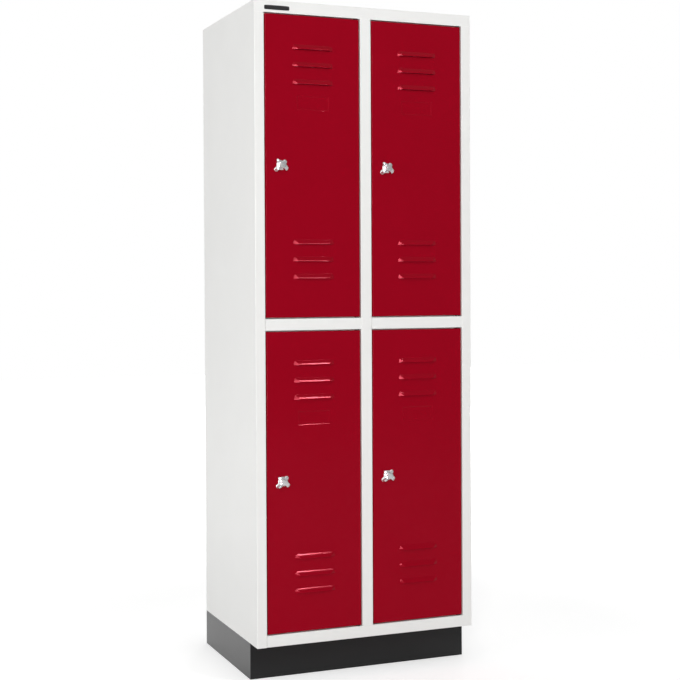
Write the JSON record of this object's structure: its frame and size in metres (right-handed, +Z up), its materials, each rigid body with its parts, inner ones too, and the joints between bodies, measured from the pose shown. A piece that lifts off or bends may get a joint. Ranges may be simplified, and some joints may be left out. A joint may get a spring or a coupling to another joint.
{
  "type": "clothing locker",
  "caption": "Sheet-steel clothing locker with stacked compartments side by side, louvred hinged doors, turn latches for padlocks, clothes rails and a recessed plinth.",
  "frame": {"origin": "on the floor under the middle of the bounding box", "axes": "+Z up, the doors face -Y, +X to the right seen from in front"},
  "size_m": [0.65, 0.498, 1.85],
  "materials": {
    "body_paint": "satin powder coat, light grey",
    "door_paint": "satin powder coat, ruby red",
    "plinth_paint": "satin powder coat, black",
    "latch_chrome": "polished nickel-chrome plating on a casting",
    "zinc_steel": "bright zinc plating",
    "nylon": "moulded black nylon",
    "rubber": "matt black rubber"
  },
  "bodies": {
    "carcass": {"left_side_panel": "body_paint", "right_side_panel": "body_paint", "centre_stile": "body_paint", "centre_partition": "body_paint", "roof_panel": "body_paint", "floor_panel": "body_paint", "back_panel": "body_paint", "shelf_left": "body_paint", "shelf_right": "body_paint", "plinth_front": "plinth_paint", "plinth_rear": "plinth_paint", "plinth_left": "plinth_paint", "plinth_right": "plinth_paint", "hinge_bushes": "nylon", "door_buffers": "rubber", "rail_saddles": "nylon", "clothes_rail_upper_left": "zinc_steel", "clothes_rail_lower_left": "zinc_steel", "clothes_rail_upper_right": "zinc_steel", "clothes_rail_lower_right": "zinc_steel"},
    "door_upper_left": {"door_panel_upper_left": "door_paint", "door_stiffener_upper_left": "door_paint", "hinge_pins_upper_left": "zinc_steel", "latch_base_upper_left": "latch_chrome", "latch_clip_upper_left": "zinc_steel"},
    "latch_upper_left": {"latch_knob_upper_left": "latch_chrome", "latch_cam_upper_left": "zinc_steel"},
    "door_lower_left": {"door_panel_lower_left": "door_paint", "door_stiffener_lower_left": "door_paint", "hinge_pins_lower_left": "zinc_steel", "latch_base_lower_left": "latch_chrome", "latch_clip_lower_left": "zinc_steel"},
    "latch_lower_left": {"latch_knob_lower_left": "latch_chrome", "latch_cam_lower_left": "zinc_steel"},
    "door_upper_right": {"door_panel_upper_right": "door_paint", "door_stiffener_upper_right": "door_paint", "hinge_pins_upper_right": "zinc_steel", "latch_base_upper_right": "latch_chrome", "latch_clip_upper_right": "zinc_steel"},
    "latch_upper_right": {"latch_knob_upper_right": "latch_chrome", "latch_cam_upper_right": "zinc_steel"},
    "door_lower_right": {"door_panel_lower_right": "door_paint", "door_stiffener_lower_right": "door_paint", "hinge_pins_lower_right": "zinc_steel", "latch_base_lower_right": "latch_chrome", "latch_clip_lower_right": "zinc_steel"},
    "latch_lower_right": {"latch_knob_lower_right": "latch_chrome", "latch_cam_lower_right": "zinc_steel"}
  },
  "joints": [
    {"name": "door_hinge_upper_left", "type": "hinge", "parent": "carcass", "child": "door_upper_left", "pos_m": [-0.027, -0.224, 1.001], "axis": [0, 0, 1], "range_deg": [0, 110]},
    {"name": "latch_turn_upper_left", "type": "hinge", "parent": "door_upper_left", "child": "latch_upper_left", "pos_m": [-0.249, -0.23, 1.4075], "axis": [0, -1, 0], "range_deg": [0, 60]},
    {"name": "door_hinge_lower_left", "type": "hinge", "parent": "carcass", "child": "door_lower_left", "pos_m": [-0.027, -0.224, 0.142], "axis": [0, 0, 1], "range_deg": [0, 110]},
    {"name": "latch_turn_lower_left", "type": "hinge", "parent": "door_lower_left", "child": "latch_lower_left", "pos_m": [-0.249, -0.23, 0.5485], "axis": [0, -1, 0], "range_deg": [0, 60]},
    {"name": "door_hinge_upper_right", "type": "hinge", "parent": "carcass", "child": "door_upper_right", "pos_m": [0.286, -0.224, 1.001], "axis": [0, 0, 1], "range_deg": [0, 110]},
    {"name": "latch_turn_upper_right", "type": "hinge", "parent": "door_upper_right", "child": "latch_upper_right", "pos_m": [0.064, -0.23, 1.4075], "axis": [0, -1, 0], "range_deg": [0, 60]},
    {"name": "door_hinge_lower_right", "type": "hinge", "parent": "carcass", "child": "door_lower_right", "pos_m": [0.286, -0.224, 0.142], "axis": [0, 0, 1], "range_deg": [0, 110]},
    {"name": "latch_turn_lower_right", "type": "hinge", "parent": "door_lower_right", "child": "latch_lower_right", "pos_m": [0.064, -0.23, 0.5485], "axis": [0, -1, 0], "range_deg": [0, 60]}
  ]
}
